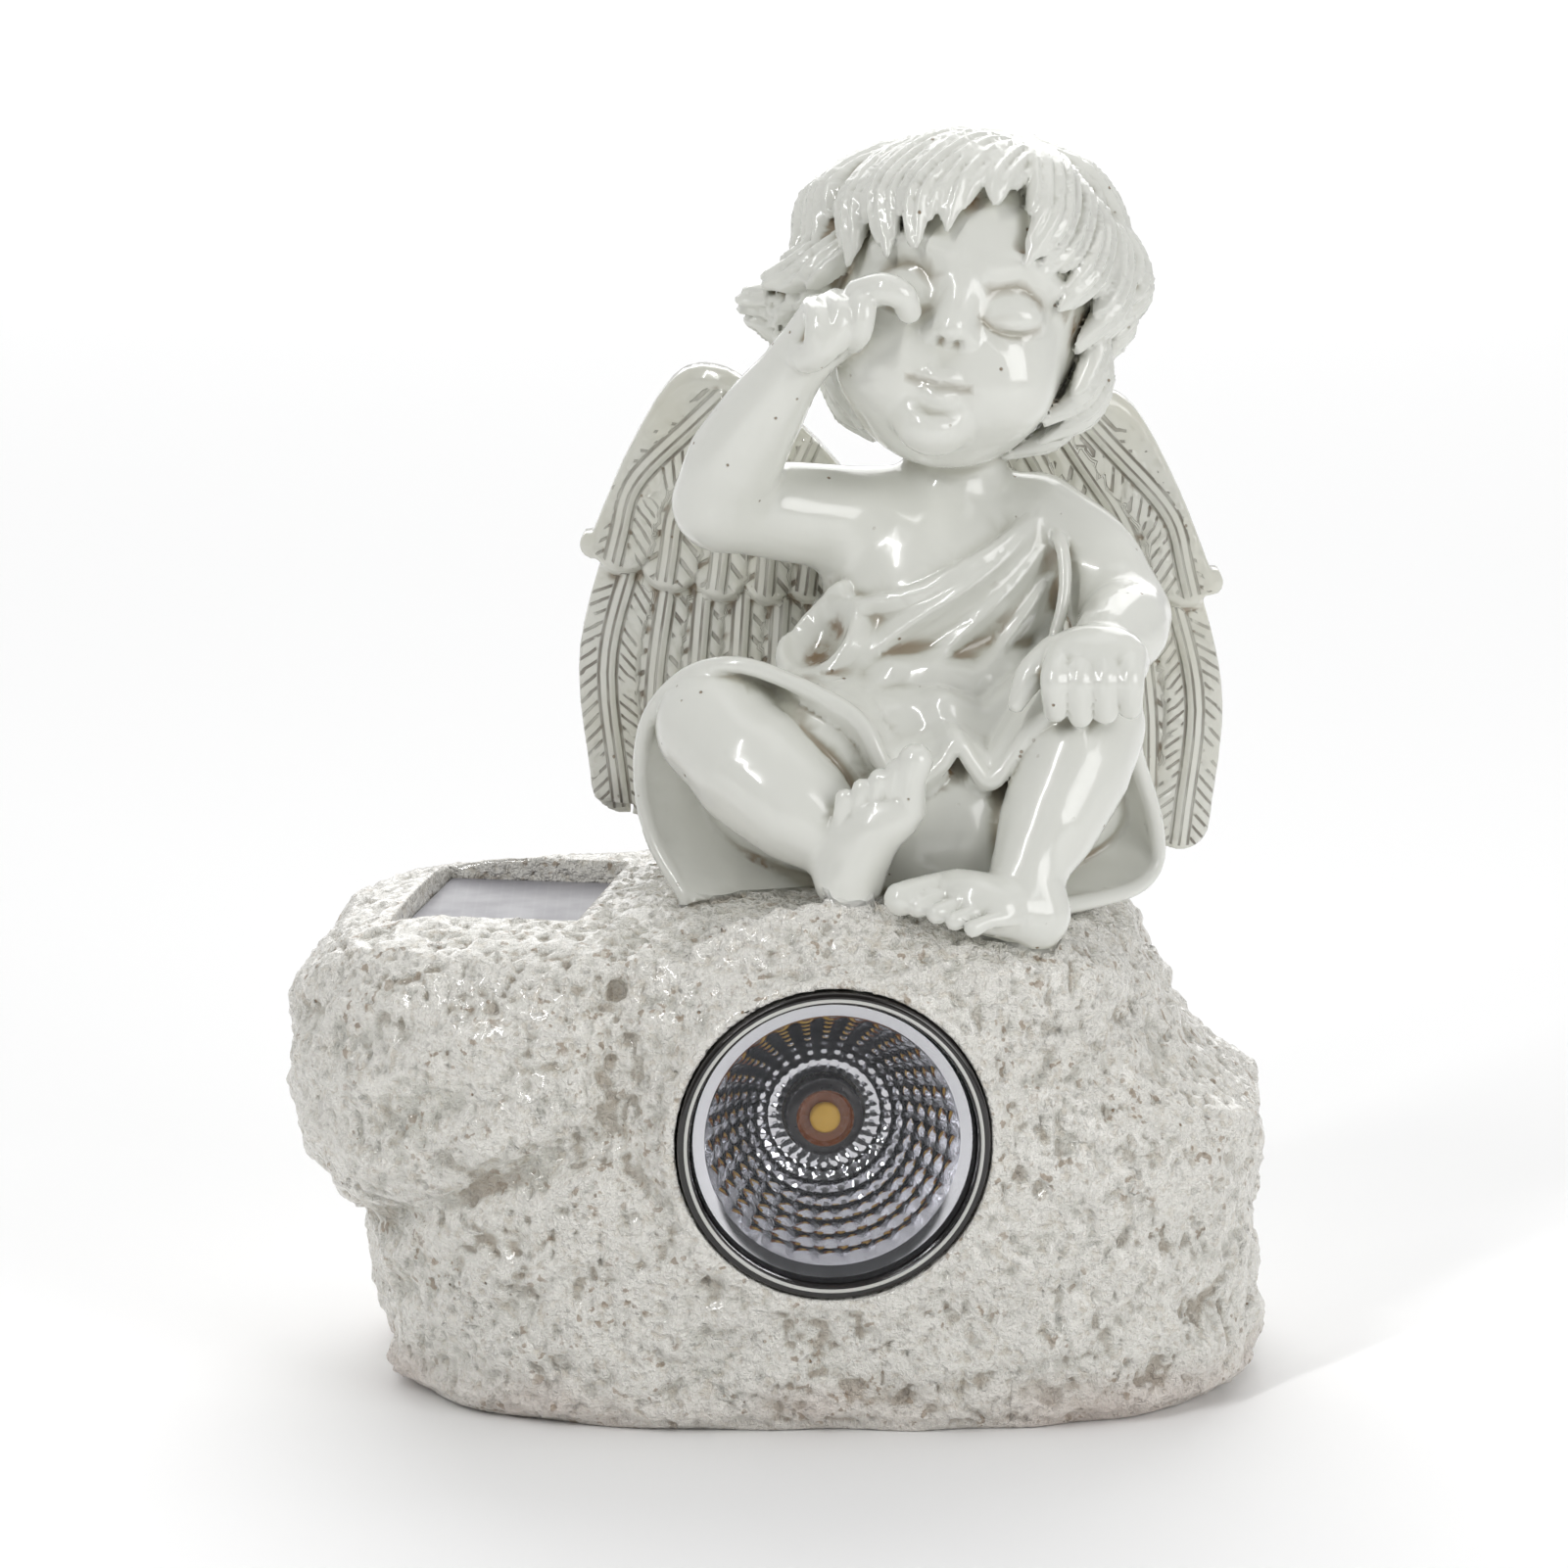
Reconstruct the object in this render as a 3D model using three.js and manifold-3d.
// A cast resin garden ornament: a seated child angel that rubs one eye, on a rock. A solar panel is let
// into the rock's left shoulder, and a round lamp faces forward out of it.
// Millimetres. +Z is up, the front faces -Y, and +X is the viewer's right. The origin is on the ground,
// under the middle of the whole ornament.
import * as THREE from "three";
import { mergeVertices } from "three/addons/utils/BufferGeometryUtils.js";
import Module from "manifold-3d";

// Driving dimensions of the casting
const ROCK_WIDTH = 164;
const ROCK_DEPTH = 112;
const SEAT_HEIGHT = 83;
const FIGURE_HEIGHT = 125;
const FIGURE_X = 22;
const SKIRT_THICKNESS = 2.6;

// Driving dimensions of the lamp, which faces forward with a slight turn to the viewer's right
const LAMP_X = 8;
const LAMP_Z = 49;
const LAMP_TURN = 4;
const LAMP_SETBACK = 2.5;
const BEZEL_DIAMETER = 50.6;
const BEZEL_WALL = 2;
const BEZEL_DEPTH = 7;
const BEZEL_PROUD = 1.2;
const LENS_THICKNESS = 2.2;
const LENS_SETBACK = 1;
const REFLECTOR_DEPTH = 21;
const REFLECTOR_WALL = 1.4;
const REFLECTOR_RINGS = 4;
const REFLECTOR_SECTORS = 16;
const LED_HOLDER_DIAMETER = 12.6;
const LED_HOLDER_HEIGHT = 5;
const LED_CHIP_DIAMETER = 5;
const LED_CHIP_HEIGHT = 1.4;
const POCKET_SPARE_DEPTH = 2;
const COLLAR_LIP = 1.8;
const COLLAR_WIDTH = 11;

// Driving dimensions of the solar panel. PANEL_ACROSS is where it lies, as a share of half the rock's width.
const PANEL_WIDTH = 30;
const PANEL_LENGTH = 47;
const PANEL_THICKNESS = 2.5;
const PANEL_ACROSS = -0.561;
const PANEL_Y = 4;
const PANEL_TURN = -9;
const PANEL_SUNK = 3.8;

// Clearance between pieces that touch
const GAP = 0.3;

// The fewest sides and steps that show the roundness of each kind of form
const LIMB = { sides: 7, steps: 3 };
const THIGH = { sides: 9, steps: 3 };
const FINGER = { sides: 5, steps: 2 };
const ROLL = { sides: 5, steps: 3 };
const ROCK_SIDES = 30;
const MOUND_SIDES = 16;
const TORSO_SIDES = 18;
const LAMP_SIDES = 20;
const LED_SIDES = 14;
const CHIP_SIDES = 8;

// Where the lamp's pieces lie, as depths behind the rock's face
const LAMP_FRONT = -ROCK_DEPTH / 2 + LAMP_SETBACK;
const BEZEL_RADIUS = BEZEL_DIAMETER / 2;
const LENS_RADIUS = BEZEL_RADIUS - BEZEL_WALL - GAP;
const LENS_FRONT = LENS_SETBACK - BEZEL_PROUD;
const LENS_BACK = LENS_FRONT + LENS_THICKNESS;
const REFLECTOR_FRONT = LENS_BACK + GAP;
const REFLECTOR_BACK = REFLECTOR_FRONT + REFLECTOR_DEPTH;
const LED_HOLDER_RADIUS = LED_HOLDER_DIAMETER / 2;
const POCKET_DEPTH = REFLECTOR_BACK + POCKET_SPARE_DEPTH;

const V = (x, y, z) => new THREE.Vector3(x, y, z);
const rad = THREE.MathUtils.degToRad;

// Solids: closed three.js geometry in and out of the library that joins and cuts
const wasm = await Module();
wasm.setup();

function solidOf(geometry) {
  const bare = geometry.clone();
  bare.deleteAttribute("normal");
  bare.deleteAttribute("uv");
  const merged = mergeVertices(bare, 1e-4);
  const triVerts = new Uint32Array(merged.index.array);
  const vertProperties = merged.attributes.position.array;
  return new wasm.Manifold(new wasm.Mesh({ numProp: 3, vertProperties, triVerts }));
}

function geometryOf(solid) {
  const mesh = solid.getMesh();
  const geometry = new THREE.BufferGeometry();
  geometry.setAttribute("position", new THREE.BufferAttribute(mesh.vertProperties, 3));
  geometry.setIndex(new THREE.BufferAttribute(mesh.triVerts, 1));
  const flat = geometry.toNonIndexed();
  flat.computeVertexNormals();
  return flat;
}

function join(geometries) {
  let solids = geometries.map(solidOf);
  while (solids.length > 1) {
    const next = [];
    for (let i = 0; i < solids.length; i += 2) {
      next.push(i + 1 < solids.length ? solids[i].add(solids[i + 1]) : solids[i]);
    }
    solids = next;
  }
  return solids[0];
}

// The body itself, without the small sealed gaps that stay between forms that are joined
function outermost(solid) {
  return solid.decompose().sort((a, b) => b.volume() - a.volume())[0];
}

function indexed(points, faces) {
  const geometry = new THREE.BufferGeometry();
  const flat = points.flatMap((p) => [p.x, p.y, p.z]);
  geometry.setAttribute("position", new THREE.Float32BufferAttribute(flat, 3));
  geometry.setIndex(faces);
  return geometry;
}

// A closed body of rings that ends in a point at each end. Rings run anticlockwise about the way along.
function skinOfRings(start, rings, end) {
  const sides = rings[0].length;
  const points = [start, ...rings.flat(), end];
  const last = points.length - 1;
  const at = (ring, side) => 1 + ring * sides + (side % sides);
  const faces = [];
  for (let i = 0; i < sides; i++) {
    faces.push(0, at(0, i + 1), at(0, i));
    faces.push(last, at(rings.length - 1, i), at(rings.length - 1, i + 1));
    for (let k = 0; k + 1 < rings.length; k++) {
      faces.push(at(k, i), at(k, i + 1), at(k + 1, i + 1));
      faces.push(at(k, i), at(k + 1, i + 1), at(k + 1, i));
    }
  }
  return indexed(points, faces);
}

// A tapering round-ended form along a smooth curve, such as a limb, a finger, a feather or a lock of hair.
// broad is the way that a flattened form is widest, and flat its thickness as a share of its width. A form
// that lies round a centre is flat towards it.
function taper(points, radii, { sides = 8, steps = 6, flat = 1, broad = V(0, 1, 0.01), centre } = {}) {
  const curve = new THREE.CatmullRomCurve3(points);
  const along = (t) => {
    const place = t * (radii.length - 1);
    const i = Math.min(Math.floor(place), radii.length - 2);
    return THREE.MathUtils.lerp(radii[i], radii[i + 1], place - i);
  };
  const ring = (middle, tangent, radius) => {
    const side = centre ? middle.clone().sub(centre).cross(tangent) : broad;
    const thin = tangent.clone().cross(side).normalize();
    const wide = thin.clone().cross(tangent).normalize();
    return Array.from({ length: sides }, (_, i) => {
      const a = (2 * Math.PI * i) / sides;
      return middle
        .clone()
        .addScaledVector(wide, radius * Math.cos(a))
        .addScaledVector(thin, radius * flat * Math.sin(a));
    });
  };
  const rings = [];
  const [first, lastRadius] = [radii[0], radii[radii.length - 1]];
  const [tail, tip] = [curve.getTangent(0), curve.getTangent(1)];
  const shoulder = 0.7;
  const [head, foot] = [curve.getPoint(0), curve.getPoint(1)];
  rings.push(ring(head.clone().addScaledVector(tail, -shoulder * first), tail, shoulder * first));
  for (let k = 0; k <= steps; k++) {
    const t = k / steps;
    rings.push(ring(curve.getPoint(t), curve.getTangent(t), along(t)));
  }
  rings.push(ring(foot.clone().addScaledVector(tip, shoulder * lastRadius), tip, shoulder * lastRadius));
  const start = head.clone().addScaledVector(tail, -first);
  const end = foot.clone().addScaledVector(tip, lastRadius);
  return skinOfRings(start, rings, end);
}

function ellipsoid(centre, radii, { turn = [0, 0, 0], across = 12, up = 8 } = {}) {
  const geometry = new THREE.SphereGeometry(1, across, up).rotateX(Math.PI / 2);
  geometry.scale(radii.x, radii.y, radii.z);
  geometry.applyMatrix4(
    new THREE.Matrix4().makeRotationFromEuler(new THREE.Euler(...turn.map(rad), "ZYX")),
  );
  return geometry.translate(centre.x, centre.y, centre.z);
}

// The closed body between two grids of points that lie face to face: rows[row][column]
function plate(front, rear, flip = false) {
  const [high, wide] = [front.length, front[0].length];
  const points = [...front.flat(), ...rear.flat()];
  const back = high * wide;
  const at = (r, c) => r * wide + c;
  const faces = [];
  const quad = (a, b, c, d) => faces.push(...(flip ? [a, c, b, a, d, c] : [a, b, c, a, c, d]));
  for (let r = 0; r + 1 < high; r++) {
    for (let c = 0; c + 1 < wide; c++) {
      quad(at(r, c), at(r, c + 1), at(r + 1, c + 1), at(r + 1, c));
      quad(back + at(r, c), back + at(r + 1, c), back + at(r + 1, c + 1), back + at(r, c + 1));
    }
    quad(at(r, 0), at(r + 1, 0), back + at(r + 1, 0), back + at(r, 0));
    quad(back + at(r, wide - 1), back + at(r + 1, wide - 1), at(r + 1, wide - 1), at(r, wide - 1));
  }
  for (let c = 0; c + 1 < wide; c++) {
    quad(back + at(0, c), back + at(0, c + 1), at(0, c + 1), at(0, c));
    quad(at(high - 1, c), at(high - 1, c + 1), back + at(high - 1, c + 1), back + at(high - 1, c));
  }
  return indexed(points, faces);
}

// A sheet of even thickness over a grid of points
function sheet(rows, thickness) {
  const [high, wide] = [rows.length, rows[0].length];
  const clamp = (v, top) => Math.max(0, Math.min(top, v));
  const normal = (r, c) => {
    const along = rows[r][clamp(c + 1, wide - 1)].clone().sub(rows[r][clamp(c - 1, wide - 1)]);
    const across = rows[clamp(r + 1, high - 1)][c].clone().sub(rows[clamp(r - 1, high - 1)][c]);
    return along.cross(across).normalize();
  };
  const face = (sign) =>
    rows.map((row, r) =>
      row.map((p, c) => p.clone().addScaledVector(normal(r, c), (sign * thickness) / 2)),
    );
  return plate(face(1), face(-1));
}

// The rock: stacked outlines of rounded plan, roughened. Each level is
// [height, left, right, front, back], as shares of the seat's height, half the width and half the depth.
const MAIN_ROCK = [
  [0, -0.77, 0.92, -0.9, 0.88],
  [0.04, -0.83, 0.98, -0.96, 0.96],
  [0.14, -0.84, 0.995, -0.98, 0.98],
  [0.26, -0.86, 0.98, -0.99, 1],
  [0.4, -0.92, 0.98, -0.99, 1],
  [0.56, -0.985, 0.99, -0.96, 0.95],
  [0.64, -0.985, 0.9, -0.93, 0.92],
  [0.71, -0.995, 0.83, -0.9, 0.9],
  [0.82, -0.965, 0.78, -0.88, 0.87],
  [0.92, -0.89, 0.71, -0.8, 0.78],
  [0.955, -0.8, 0.62, -0.68, 0.66],
];
const SEAT_MOUND = [
  [0.75, -0.3, 0.72, -0.8, 0.74],
  [0.9, -0.32, 0.7, -0.78, 0.72],
  [0.965, -0.28, 0.64, -0.72, 0.64],
  [1.005, -0.16, 0.54, -0.6, 0.5],
];
const PLAN_SQUARENESS = 2.9;
const ROUGHNESS = 1.5;

// The rock's left shoulder hangs over a crack that runs down its front and slopes away to the left
const SHOULDER_X = (-0.33 * ROCK_WIDTH) / 2;
const SHOULDER_Z = 0.6 * SEAT_HEIGHT;
const CRACK_SLOPE = 0.5;
const SHOULDER_SWELL = 3;
const CRACK_DEPTH = 3;
const CRACK_WIDTH = 3.5;

// A smooth bump of about -1 to 1 that repeats the same way on every run
const rough = (p) =>
  0.5 * Math.sin(p.x * 0.23 + 1.7 * Math.sin(p.z * 0.13)) * Math.cos(p.z * 0.31 + p.y * 0.17) +
  0.5 * Math.sin(p.y * 0.29 + p.x * 0.11 + 2) * Math.sin(p.z * 0.47 - p.x * 0.19);

// How far the rock's skin stands out at a point, for its shoulder and its crack
function shoulderRelief(p) {
  const beside = SHOULDER_X - p.x;
  const above = p.z - SHOULDER_Z + CRACK_SLOPE * Math.max(0, beside);
  const inside = Math.min(beside, above);
  const front = THREE.MathUtils.smoothstep(-p.y, -ROCK_DEPTH / 8, ROCK_DEPTH / 8);
  const swell = SHOULDER_SWELL * THREE.MathUtils.smoothstep(inside, 0, 2 * CRACK_WIDTH);
  return front * (swell - CRACK_DEPTH * Math.exp(-((inside / CRACK_WIDTH) ** 2)));
}

function boulder(levels, sides) {
  const power = PLAN_SQUARENESS;
  const rings = levels.map(([up, left, right, front, back], k) => {
    const [x0, x1] = [(left * ROCK_WIDTH) / 2, (right * ROCK_WIDTH) / 2];
    const [y0, y1] = [(front * ROCK_DEPTH) / 2, (back * ROCK_DEPTH) / 2];
    const end = k === 0 || k === levels.length - 1;
    return Array.from({ length: sides }, (_, i) => {
      const a = (2 * Math.PI * i) / sides;
      const [c, s] = [Math.cos(a), Math.sin(a)];
      const reach = (Math.abs(c) ** power + Math.abs(s) ** power) ** (-1 / power);
      const p = V((x0 + x1) / 2, (y0 + y1) / 2, up * SEAT_HEIGHT);
      const [dx, dy] = [((x1 - x0) / 2) * c * reach, ((y1 - y0) / 2) * s * reach];
      const skin = V(p.x + dx, p.y + dy, p.z);
      const relief = end ? 0 : ROUGHNESS * (rough(skin) - 1) + shoulderRelief(skin);
      const out = relief / Math.hypot(dx, dy);
      return p.add(V(dx * (1 + out), dy * (1 + out), 0));
    });
  });
  const middle = (ring) => ring.reduce((sum, p) => sum.add(p), V(0, 0, 0)).divideScalar(sides);
  return skinOfRings(middle(rings[0]), rings, middle(rings[rings.length - 1]));
}

// The figure. Its points are in 125ths of its height, from the middle of its seat.
const FIGURE_UNIT = FIGURE_HEIGHT / 125;
const SEAT = V(FIGURE_X, 0, SEAT_HEIGHT);
const fig = (x, y, z) => V(x, y, z).multiplyScalar(FIGURE_UNIT).add(SEAT);
const figRadii = (list) => list.map((r) => r * FIGURE_UNIT);
const figVector = (x, y, z) => V(x, y, z).multiplyScalar(FIGURE_UNIT);
const form = (points, radii, options) =>
  taper(points.map((p) => fig(...p)), figRadii(radii), options);
const lump = (centre, radii, options) => ellipsoid(fig(...centre), figVector(...radii), options);

// The head's own frame: tilted to the viewer's right, turned a little to the left, face up
const HEAD = [7.5, -1, 96];
const HEAD_TURN = [-12, 12, -5];
const headMatrix = new THREE.Matrix4().makeRotationFromEuler(
  new THREE.Euler(...HEAD_TURN.map(rad), "ZYX"),
);
const onHead = (x, y, z) => V(x, y, z).applyMatrix4(headMatrix).add(V(...HEAD)).toArray();
const headLump = (centre, radii, [rx, ry, rz] = [0, 0, 0], detail = {}) =>
  lump(onHead(...centre), radii, {
    turn: [HEAD_TURN[0] + rx, HEAD_TURN[1] + ry, HEAD_TURN[2] + rz],
    ...detail,
  });
const headForm = (points, radii, options) =>
  form(points.map((p) => onHead(...p)), radii, options);

// The body under its tunic, from the seat to the top of the neck. Each level is
// [height, middle across, middle back, half width, half depth].
const BODY = [
  [-1, 0, 3, 26, 19],
  [9, 0, 3, 27.5, 19.5],
  [20, 0, 2, 25, 18.5],
  [29, 1, 1, 21.5, 17.5],
  [39, 2, 1, 19.5, 16.2],
  [50, 4, 1.5, 19.5, 14.5],
  [56, 5, 2.5, 18.5, 12.5],
  [62, 6, 4, 13, 10],
  [66, 6.5, 4, 8.8, 8.6],
  [76, 7, 3, 8.2, 8.2],
];
const FOLD_CENTRE = [24, 64];
const FOLD_SPACING = 11;
const FOLD_HEIGHT = 1.5;

// The tunic's folds fan out across the chest from the shoulder that carries it
function foldRelief(x, y, z) {
  const turn = Math.atan2(FOLD_CENTRE[0] - x, FOLD_CENTRE[1] - z) / rad(FOLD_SPACING);
  const chest = THREE.MathUtils.smoothstep(-y, 0, 10) * THREE.MathUtils.smoothstep(60 - z, 0, 12);
  const below = THREE.MathUtils.smoothstep(z, 18, 30);
  return FOLD_HEIGHT * chest * below * Math.cos(2 * Math.PI * turn);
}

function torso() {
  const rings = BODY.map(([up, across, back, rx, ry]) =>
    Array.from({ length: TORSO_SIDES }, (_, i) => {
      const a = (2 * Math.PI * i) / TORSO_SIDES;
      const [c, s] = [Math.cos(a), Math.sin(a)];
      const fold = foldRelief(across + rx * c, back + ry * s, up);
      return fig(across + (rx + fold) * c, back + (ry + fold) * s, up);
    }),
  );
  const level = ([up, across, back]) => fig(across, back, up);
  return [
    skinOfRings(level(BODY[0]), rings, level(BODY[BODY.length - 1])),
    lump([0, -9, 14], [35, 16, 16], { across: 14, up: 6 }),
  ];
}

// A closed form on a grid that is finest at the front: relief gives how far each point stands forward
function headSkin(centre, radii, relief, columns, rows) {
  const at = (column, row) => {
    const t = (2 * column) / columns - 1;
    const around = -Math.PI / 2 + Math.PI * Math.sign(t) * Math.abs(t) ** 1.5;
    const up = -Math.PI / 2 + (Math.PI * row) / rows;
    const unit = V(Math.cos(up) * Math.cos(around), Math.cos(up) * Math.sin(around), Math.sin(up));
    const p = unit.clone().multiply(V(...radii)).add(V(...centre));
    const front = THREE.MathUtils.smoothstep(-unit.y, 0.1, 0.6);
    return fig(...onHead(p.x, p.y - front * relief(p.x, p.z), p.z));
  };
  const rings = Array.from({ length: rows - 1 }, (_, k) =>
    Array.from({ length: columns }, (_, i) => at(i, k + 1)),
  );
  return skinOfRings(at(columns / 2, 0), rings, at(columns / 2, rows));
}

// The face's soft forms: [across, up, half width, half height, how far forward]. Those off the middle
// are on both sides.
const FACE_FORMS = [
  [9, -8, 6, 5.5, 3],
  [0, -17.5, 4.6, 3.4, 3.6],
  [0, -2.6, 2.6, 2.8, 4.4],
  [0, 2, 2, 5, 1.8],
  [8, 6.5, 5.5, 2.6, 1.6],
  [8, 2.6, 4, 1.8, -1.6],
  [8, -0.6, 3.4, 1.9, 2],
  [0, -10.6, 3.6, 1.1, 1.7],
  [0, -13.2, 2.8, 1.1, 1.6],
];

function faceRelief(x, z) {
  const bump = ([across, up, wide, high, out]) => (side) =>
    out * Math.exp(-(((x - side * across) / wide) ** 2) - ((z - up) / high) ** 2);
  return FACE_FORMS.map((row) => (row[0] ? bump(row)(1) + bump(row)(-1) : bump(row)(1))).reduce(
    (sum, out) => sum + out,
    0,
  );
}

const face = () => [headSkin([0, 0, 1], [19.5, 20.5, 23], faceRelief, 20, 16)];

// Locks of hair, each from where it lies on the head to its tip, over a cap
const CAP_CENTRE = [0, 4.5, 5];
const CAP_RADII = [23, 21, 22.5];
const LOCKS = [
  { path: [[2, 4, 25], [-4, -12, 21], [-10, -19, 12], [-7, -21.5, 5]], size: [6, 6, 4.6, 1.2] },
  { path: [[0, 2, 25.5], [-9, -9, 22], [-16, -15, 12], [-15, -18.5, 4]], size: [6, 6, 4.6, 1.2] },
  { path: [[-2, 2, 25], [-14, -4, 20], [-20, -9, 10], [-20.5, -12, 0]], size: [6, 6.4, 5, 1.6] },
  { path: [[4, 4, 25], [8, -11, 21.5], [11, -18.5, 13], [9, -21, 6]], size: [6, 5.6, 4, 1.1] },
  { path: [[6, 4, 24], [14, -8, 19], [16, -15, 10], [14, -18, 1]], size: [6, 6, 4.4, 1.2] },
  { path: [[6, 4, 24], [18, -3, 16], [21, -10, 6], [18, -14, -5]], size: [6, 6.4, 4.6, 1.3] },
  { path: [[6, 5, 22], [21, 1, 15], [27, -2, 4], [22, -4, -6]], size: [7, 8.5, 7, 2] },
  { path: [[-6, 5, 22], [-19, 2, 16], [-26, 1, 7], [-21, 1, 0]], size: [6, 7, 5.4, 2] },
  { path: [[-14, 5, 12], [-22, 4, 2], [-30, 4, -5], [-28, 3, -11]], size: [6, 7, 6, 2] },
  { path: [[16, 4, 8], [22, 2, -5], [23, 0, -15], [19, -3, -22]], size: [6, 6, 5, 1.5] },
  { path: [[-16, 8, 4], [-22, 9, -6], [-24, 8, -13], [-19, 6, -20]], size: [7, 7, 6, 1.5] },
  { path: [[9, 18, 4], [10, 21, -8], [9, 19, -18], [6, 14, -24]], size: [9, 10, 9, 2] },
  { path: [[-7, 18, 4], [-9, 21, -8], [-8, 19, -18], [-6, 14, -24]], size: [9, 10, 9, 2] },
];
const CAP_STRANDS = 8;
const CAP_RELIEF = 0.07;

// The back of the head: a cap of hair whose strands run down from the crown
function hairCap() {
  const geometry = new THREE.SphereGeometry(1, 2 * CAP_STRANDS, 7).rotateX(Math.PI / 2);
  const position = geometry.attributes.position;
  for (let i = 0; i < position.count; i++) {
    const p = V(0, 0, 0).fromBufferAttribute(position, i);
    const strand = Math.cos(CAP_STRANDS * Math.atan2(p.y, p.x)) * Math.hypot(p.x, p.y);
    p.multiplyScalar(1 + CAP_RELIEF * strand).multiply(V(...CAP_RADII)).add(V(...CAP_CENTRE));
    const placed = fig(...onHead(p.x, p.y, p.z));
    position.setXYZ(i, placed.x, placed.y, placed.z);
  }
  return geometry;
}

function hair() {
  const lock = { sides: 4, steps: 3, flat: 0.6, centre: fig(...onHead(...CAP_CENTRE)) };
  return [hairCap(), ...LOCKS.map(({ path, size }) => headForm(path, size, lock))];
}

// A raised arm whose fist rubs the eye with its bent forefinger
function rightArm() {
  const fingers = [0, 1, 2].map((i) =>
    form(
      [[-18 + 3.4 * i, -22, 98 + i], [-16 + 3 * i, -27, 95.5 + 0.6 * i], [-17 + 2.6 * i, -25, 91]],
      [2.4, 2.6, 2.2],
      FINGER,
    ),
  );
  return [
    form([[-8, 2, 60], [-20, -3, 61], [-33, -8, 63.5]], [8.5, 7.8, 7], LIMB),
    form([[-33.5, -8.5, 63.5], [-28, -13, 76], [-20, -18.5, 88]], [7.6, 7.4, 4.8], LIMB),
    form([[-20, -19, 89], [-13.5, -22, 94.5]], [5, 6.4], { ...LIMB, steps: 1 }),
    ...fingers,
    form([[-9.5, -24.5, 99], [-5, -27, 100], [-2.5, -26, 97.2]], [2.6, 2.4, 1.9], FINGER),
    form([[-19, -22, 90], [-15, -26, 88.5], [-12, -26, 91]], [2.6, 2.4, 2], FINGER),
  ];
}

// An arm bent so that its hand hangs over the knee
function leftArm() {
  const fingers = [0, 1, 2, 3].map((i) => {
    const x = 20.8 + 3.9 * i;
    const lift = 0.9 * Math.abs(i - 1.2);
    return form(
      [[x + 1, -33, 42.5], [x, -37, 39.5], [x + 0.2, -36, 34.5 + lift]],
      [2.4, 2.5, 2],
      FINGER,
    );
  });
  return [
    form([[20, 3, 58], [29, 0, 52], [34, -7, 43]], [8.4, 7.8, 7], LIMB),
    form([[34, -7, 43.5], [32.5, -17, 43.5], [29.5, -26, 43]], [7, 6.6, 5.2], LIMB),
    lump([27.4, -31, 41], [9.4, 6.6, 5.2], { turn: [24, -4, 0], across: 9, up: 6 }),
    ...fingers,
    form([[21, -29, 42], [17.5, -32, 39.5], [16.5, -33, 36.5]], [2.8, 2.5, 1.7], FINGER),
  ];
}

// A foot's row of toes: one form that swells at each toe, from the great toe at first to the smallest
function toes(first, last, size) {
  const radii = [0, 1, 2, 3, 4].flatMap((i) => [size * (i ? 1 - 0.09 * i : 1.25), 0.5 * size]);
  return form([first, last], radii.slice(0, -1), { sides: 5, steps: 8 });
}

const FOOT_FLATNESS = 0.8;

function legs() {
  return [
    form([[-9, 3, 13], [-24, -10, 23], [-33, -19, 29]], [13, 11.5, 9], THIGH),
    form([[-33, -20, 28], [-24, -28, 20], [-12, -34, 11]], [9.2, 10, 6.2], LIMB),
    form([[-11, -37, 6], [-8, -40, 13], [-3.5, -41.5, 20]], [6, 6.2, 5.2], {
      ...LIMB,
      flat: FOOT_FLATNESS,
      broad: V(0.8, 0.3, -0.6),
    }),
    toes([-1.2, -42.5, 26.5], [-11.6, -40.5, 19.3], 2.1),
    form([[11, 3, 14], [20, -12, 22], [27, -23, 29]], [13, 11.5, 9], THIGH),
    form([[27, -23, 29], [23, -31, 19], [16.5, -37, 8]], [9.2, 9, 6], LIMB),
    form([[19, -41, 0], [12, -43, 3], [5, -46, 2.6]], [6.4, 6.6, 4.8], { ...LIMB, flat: FOOT_FLATNESS }),
    toes([4.5, -50, 1.4], [-3.1, -44.8, 2.6], 2.1),
  ];
}

// The tunic's skirt: a sheet from the hips to a hem that rises and falls over the knees and the lap
const HEM = [
  [-38, -22, 0], [-43.5, -17, 9], [-45.5, -14, 19], [-44, -16, 29], [-38, -20, 36.5], [-30, -23, 39],
  [-21, -25, 36.5], [-12.7, -28, 32.8], [-8.5, -30, 29], [-5.5, -31.5, 23.5], [-1, -32, 21],
  [3.5, -31.5, 24], [6, -31, 27.5], [8.7, -31.5, 24], [11.5, -32, 21.2], [15.5, -31.5, 26],
  [19.5, -31.5, 31], [27, -32, 34.5], [33, -26, 31.5], [36, -19, 22], [39, -15, 12], [39.5, -14, 4.5],
  [36, -18, 1], [28, -25, 0], [22, -30, 0],
];
const HIP_LINE = [
  [-14, -18, -1], [-24, -8, 4], [-27, -3, 14], [-25, -3, 24], [-20, -2, 31], [-14, -6, 35],
  [-8, -14, 36], [0, -17, 36], [8, -17, 36], [16, -13, 36], [22, -4, 33], [26, -3, 24], [27, -4, 13],
  [24, -8, 5], [14, -20, -1],
];

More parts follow.
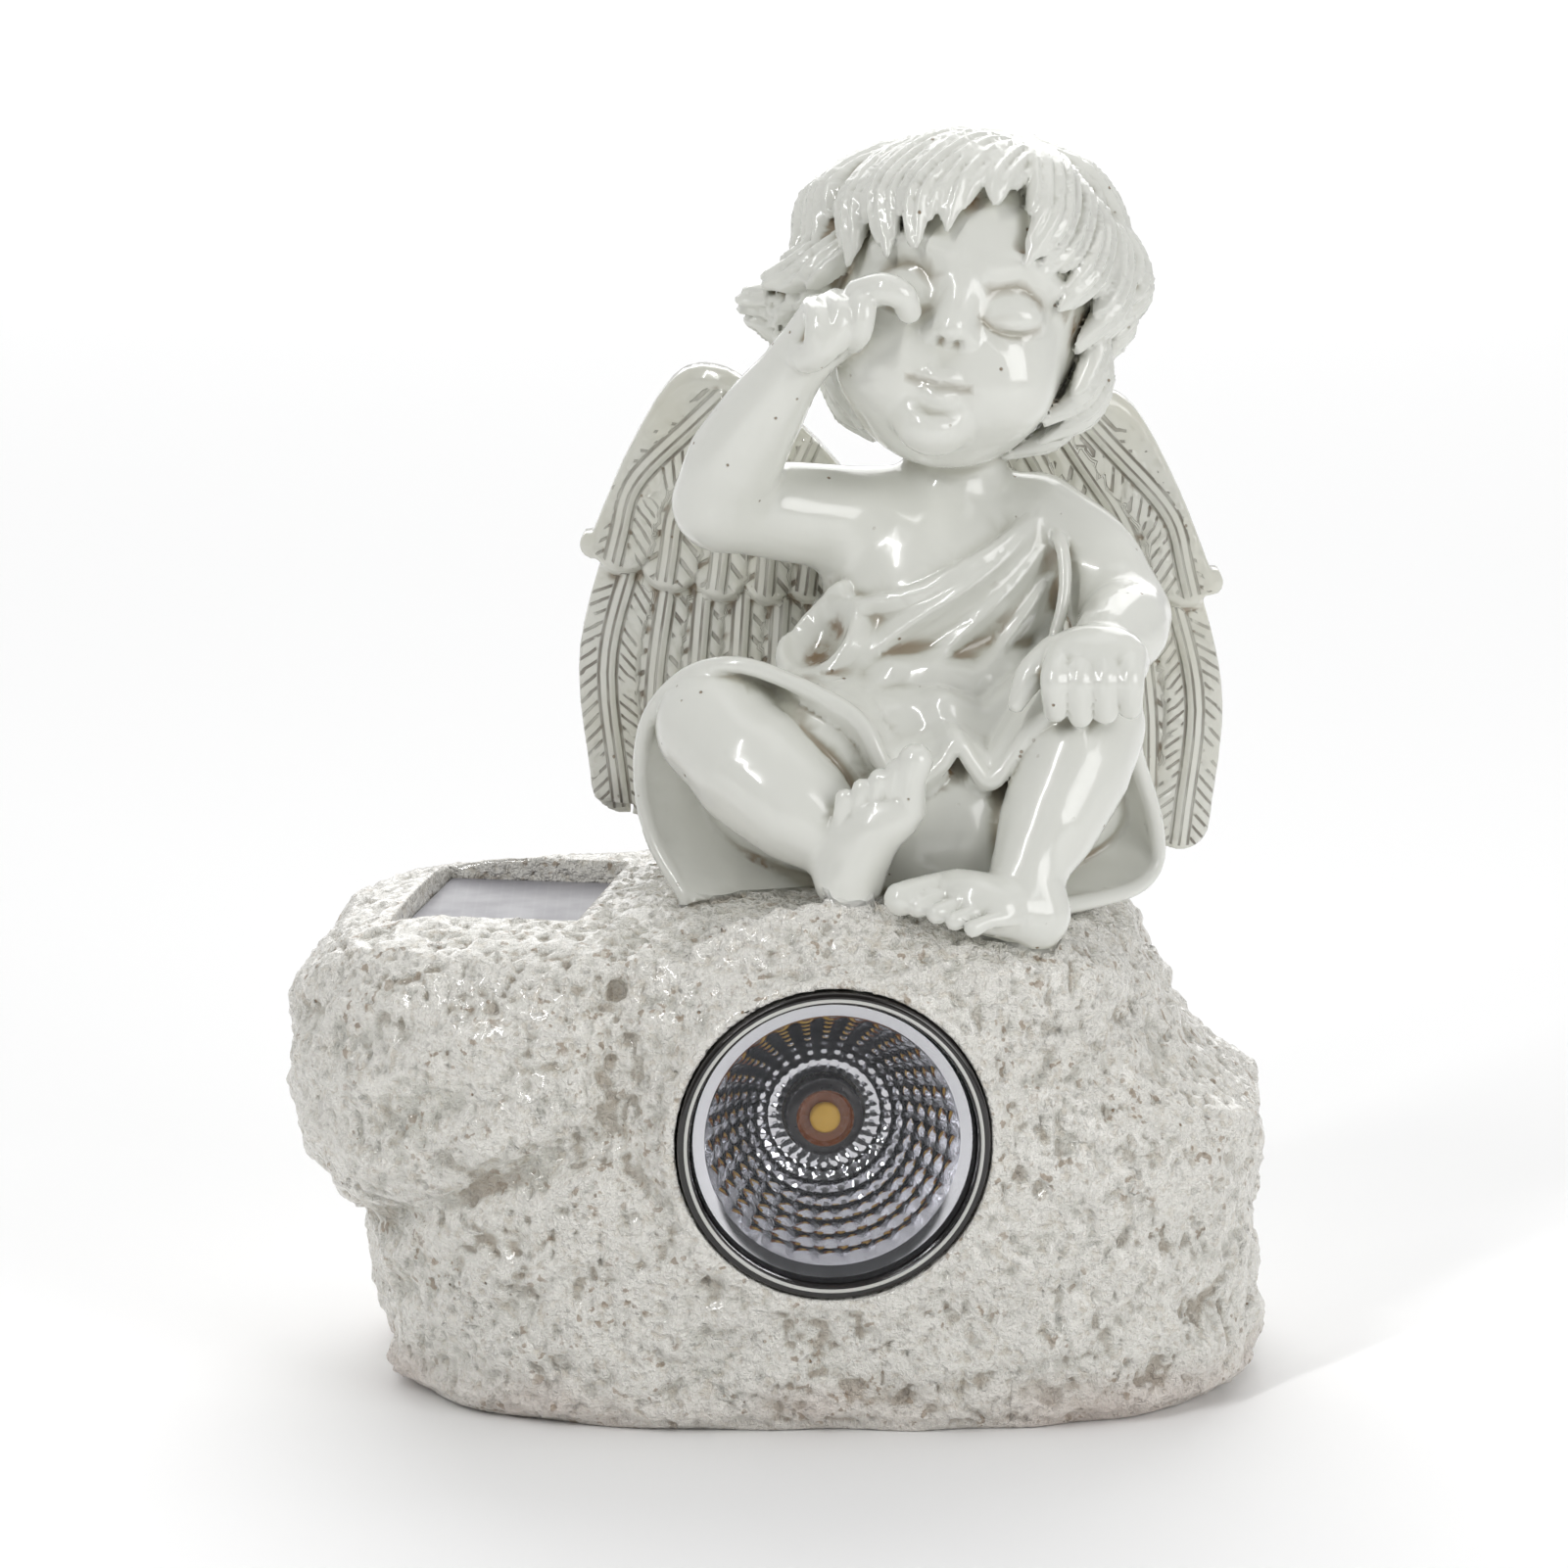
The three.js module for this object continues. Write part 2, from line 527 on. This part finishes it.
function skirt() {
  const columns = 24;
  const curve = (points) => new THREE.CatmullRomCurve3(points.map((p) => fig(...p)));
  const [hem, hips] = [curve(HEM), curve(HIP_LINE)];
  const rows = [0, 0.5, 1].map((share) =>
    Array.from({ length: columns + 1 }, (_, c) => {
      const t = c / columns;
      const p = hips.getPoint(t).lerp(hem.getPoint(t), share);
      const fullness = 3.2 * FIGURE_UNIT * Math.sin(Math.PI * share) * Math.sin(Math.PI * t);
      return p.add(V(0, 0.2, 0.6).multiplyScalar(fullness));
    }),
  );
  return [sheet(rows, SKIRT_THICKNESS)];
}

// Rolled edges of the tunic: the neckline from the shoulder, and the slack of the armhole under the
// raised arm
const ROLLS = [
  { path: [[22, -5, 62], [14, -13, 57], [2, -15.5, 50], [-13, -10, 46.5]], size: [2.6, 2.2, 2.2, 3] },
  { path: [[-14, -9, 48], [-20, -10, 41], [-17, -14, 34], [-7, -16, 30]], size: [3, 4.6, 4, 2] },
];

const rolls = () => ROLLS.map(({ path, size }) => form(path, size, ROLL));

// Wings, one mirrored from the other about the spine, and both leaning with the body. A wing is one plate:
// its grid runs across the feathers and down them, and its thickness carries their relief. Its points are
// [out from the spine, up from the seat].
const SPINE_X = -2;
const WING_LEAN = 0.06;
const WING_BACK = 15;
const WING_SWEEP = 13;
const WING_SPAN = 55;
const FEATHERS = 6;
const COLUMNS_PER_FEATHER = 3;
const LEADING_EDGE = [[3, 54], [13, 66], [24, 75], [32, 78.5], [39, 75.5], [46.5, 62.5], [52.5, 48]];
const COVERT_TIPS = 42;
const FEATHER_SCALLOP = 3;
const FEATHER_CAMBER = 1.1;
// Each row across the wing: [share of the way down its part, thickness, how much the feathers show]
const COVERT_ROWS = [[0, 0.8, 0], [0.15, 4.2, 0], [0.55, 4.2, 0.7], [1, 3.4, 1]];
const PRIMARY_ROWS = [[0.02, 1.9, 0.8], [0.6, 2.2, 1], [1, 1, 0.6]];

function wing(side) {
  const leading = new THREE.CatmullRomCurve3(LEADING_EDGE.map(([out, up]) => V(out, 0, up)));
  const columns = FEATHERS * COLUMNS_PER_FEATHER;
  const place = (out, up, forward) => {
    const back = WING_BACK + WING_SWEEP * (out / WING_SPAN) ** 1.5;
    return fig(SPINE_X + side * out, back - forward, up - side * WING_LEAN * out);
  };
  const face = (sign) => {
    const line = (share) => {
      const top = leading.getPoint(share);
      const feather = Math.abs(Math.sin(Math.PI * FEATHERS * share));
      const scallop = FEATHER_SCALLOP * (feather - 1);
      const outer = share ** 3;
      const evenly = 5 + 47 * share;
      const tips = V(0.35 * top.x + 0.65 * evenly + 1.5 * outer, 0, COVERT_TIPS - scallop);
      const bottom = V(6 + 45.5 * share, 0, 3 * outer - 1 - scallop);
      const bulge = 4.5 * outer;
      const point = (from, to, swell) => ([down, thick, shows]) => {
        const p = from.clone().lerp(to, down);
        const camber = FEATHER_CAMBER * shows * (feather - 0.5);
        const forward = sign > 0 ? thick + camber : -thick / 2;
        return place(p.x + swell * Math.sin(Math.PI * down), p.z, forward);
      };
      return [...COVERT_ROWS.map(point(top, tips, 0)), ...PRIMARY_ROWS.map(point(tips, bottom, bulge))];
    };
    return Array.from({ length: columns + 1 }, (_, c) => line(c / columns));
  };
  return [plate(face(1), face(-1), side < 0)];
}

function casting() {
  const rock = join([boulder(MAIN_ROCK, ROCK_SIDES), boulder(SEAT_MOUND, MOUND_SIDES), lampCollar()]);
  const figure = join([
    ...torso(), ...face(), ...hair(), ...rightArm(), ...leftArm(), ...legs(), ...skirt(), ...rolls(),
    ...wing(-1), ...wing(1),
  ]);
  const ground = new THREE.BoxGeometry(2 * ROCK_WIDTH, 2 * ROCK_DEPTH, SEAT_HEIGHT);
  ground.translate(0, 0, -SEAT_HEIGHT / 2);
  const whole = [panelRecess(), lampPocket(), ground].reduce(
    (body, cut) => body.subtract(solidOf(cut)),
    rock.add(figure),
  );
  return outermost(whole);
}

// The solar panel and the recess that it lies in
const ROCK_TOP = MAIN_ROCK[MAIN_ROCK.length - 1][0] * SEAT_HEIGHT;
const PANEL_X = (PANEL_ACROSS * ROCK_WIDTH) / 2;
const PANEL_TOP = ROCK_TOP - PANEL_SUNK;
const placePanel = (geometry) =>
  geometry.rotateZ(rad(PANEL_TURN)).translate(PANEL_X, PANEL_Y, PANEL_TOP);

function panelRecess() {
  const floor = PANEL_THICKNESS + GAP;
  const tall = SEAT_HEIGHT;
  const box = new THREE.BoxGeometry(PANEL_WIDTH + 2 * GAP, PANEL_LENGTH + 2 * GAP, tall);
  return placePanel(box.translate(0, 0, tall / 2 - floor));
}

function panel() {
  const plateOfCells = new THREE.BoxGeometry(PANEL_WIDTH, PANEL_LENGTH, PANEL_THICKNESS);
  return placePanel(plateOfCells.translate(0, 0, -PANEL_THICKNESS / 2));
}

// The lamp's pieces, turned from profiles of [radius, depth behind the rock's face]
const placeLamp = (geometry) =>
  geometry.rotateX(Math.PI).rotateZ(rad(LAMP_TURN)).translate(LAMP_X, LAMP_FRONT, LAMP_Z);

function turned(profile, segments = LAMP_SIDES) {
  const points = [...profile, profile[0]].map(([r, depth]) => new THREE.Vector2(r, -depth));
  return placeLamp(new THREE.LatheGeometry(points, segments));
}

// The swelling of the rock round the lamp, to just behind the bezel's front
function lampCollar() {
  const lip = BEZEL_RADIUS + COLLAR_LIP;
  const sunk = -BEZEL_PROUD / 2;
  const slope = COLLAR_WIDTH / 3;
  return turned([
    [0, COLLAR_WIDTH],
    [lip + COLLAR_WIDTH, COLLAR_WIDTH],
    [lip + 2 * slope, 1.3 * slope],
    [lip + slope / 2, sunk + slope / 3],
    [lip, sunk],
    [0, sunk],
  ]);
}

function lampPocket() {
  const length = POCKET_DEPTH + ROCK_DEPTH / 4;
  const radius = BEZEL_RADIUS + GAP;
  const cylinder = new THREE.CylinderGeometry(radius, radius, length, LAMP_SIDES);
  return placeLamp(cylinder.translate(0, length / 2 - POCKET_DEPTH, 0));
}

const bezel = () => {
  const inner = BEZEL_RADIUS - BEZEL_WALL;
  const rounding = BEZEL_WALL / 4;
  return turned([
    [inner, BEZEL_DEPTH - BEZEL_PROUD],
    [BEZEL_RADIUS, BEZEL_DEPTH - BEZEL_PROUD],
    [BEZEL_RADIUS, rounding - BEZEL_PROUD],
    [BEZEL_RADIUS - rounding, -BEZEL_PROUD],
    [inner + rounding, -BEZEL_PROUD],
    [inner, rounding - BEZEL_PROUD],
  ]);
};

const disc = (radius, back, front, sides) =>
  turned([[0, back], [radius, back], [radius, front], [0, front]], sides);

const lens = () => disc(LENS_RADIUS, LENS_BACK, LENS_FRONT);

// A bowl from a rim under the lens to the lamp's socket, steeper towards the rim
const REFLECTOR_CURVE = 1.35;

function reflector() {
  const mouth = LENS_RADIUS - REFLECTOR_WALL;
  const throat = LED_HOLDER_RADIUS + GAP;
  const deep = (r) =>
    REFLECTOR_BACK - REFLECTOR_DEPTH * ((r - throat) / (mouth - throat)) ** REFLECTOR_CURVE;
  const behind = (r) => Math.min(deep(r) + REFLECTOR_WALL, REFLECTOR_BACK);
  const radii = Array.from(
    { length: REFLECTOR_RINGS + 1 },
    (_, i) => throat + ((mouth - throat) * i) / REFLECTOR_RINGS,
  );
  const inside = radii.map((r) => [r, deep(r)]).reverse();
  const outside = radii.slice(1, -1).map((r) => [r + REFLECTOR_WALL, behind(r)]);
  const back = [throat + REFLECTOR_WALL, REFLECTOR_BACK];
  return turned([...inside, back, ...outside, [LENS_RADIUS, REFLECTOR_FRONT]], REFLECTOR_SECTORS);
}

const ledHolder = () =>
  disc(LED_HOLDER_RADIUS, REFLECTOR_BACK, REFLECTOR_BACK - LED_HOLDER_HEIGHT, LED_SIDES);

const ledChip = () => {
  const back = REFLECTOR_BACK - LED_HOLDER_HEIGHT - GAP;
  const radius = LED_CHIP_DIAMETER / 2;
  const front = back - LED_CHIP_HEIGHT;
  return turned([[0, back], [radius, back], [0.8 * radius, front], [0, front]], CHIP_SIDES);
};

// Materials
const paint = (color, roughness, metalness = 0, extra = {}) =>
  new THREE.MeshStandardMaterial({ color, roughness, metalness, ...extra });
const glazedResin = paint(0xe2e3dd, 0.32);
const solarCell = paint(0x8c8b92, 0.25, 0.1);
const darkTrim = paint(0x1c1a17, 0.25, 0.3);
const clearPlastic = paint(0xffffff, 0.03, 0, { transparent: true, opacity: 0.2 });
const brightPlating = paint(0xd8d9dc, 0.12, 1);
const blackPlastic = paint(0x2a2426, 0.35);
const phosphor = paint(0xd9a33a, 0.5);

function named(name, geometry, material) {
  const mesh = new THREE.Mesh(geometry, material);
  mesh.name = name;
  return mesh;
}

const ornament = new THREE.Group();
ornament.add(
  named("angel_and_rock_casting", geometryOf(casting()), glazedResin),
  named("solar_panel", panel(), solarCell),
  named("lamp_bezel", bezel(), darkTrim),
  named("lamp_lens", lens(), clearPlastic),
  named("lamp_reflector", reflector(), brightPlating),
  named("led_holder", ledHolder(), blackPlastic),
  named("led_chip", ledChip(), phosphor),
);

export default ornament;
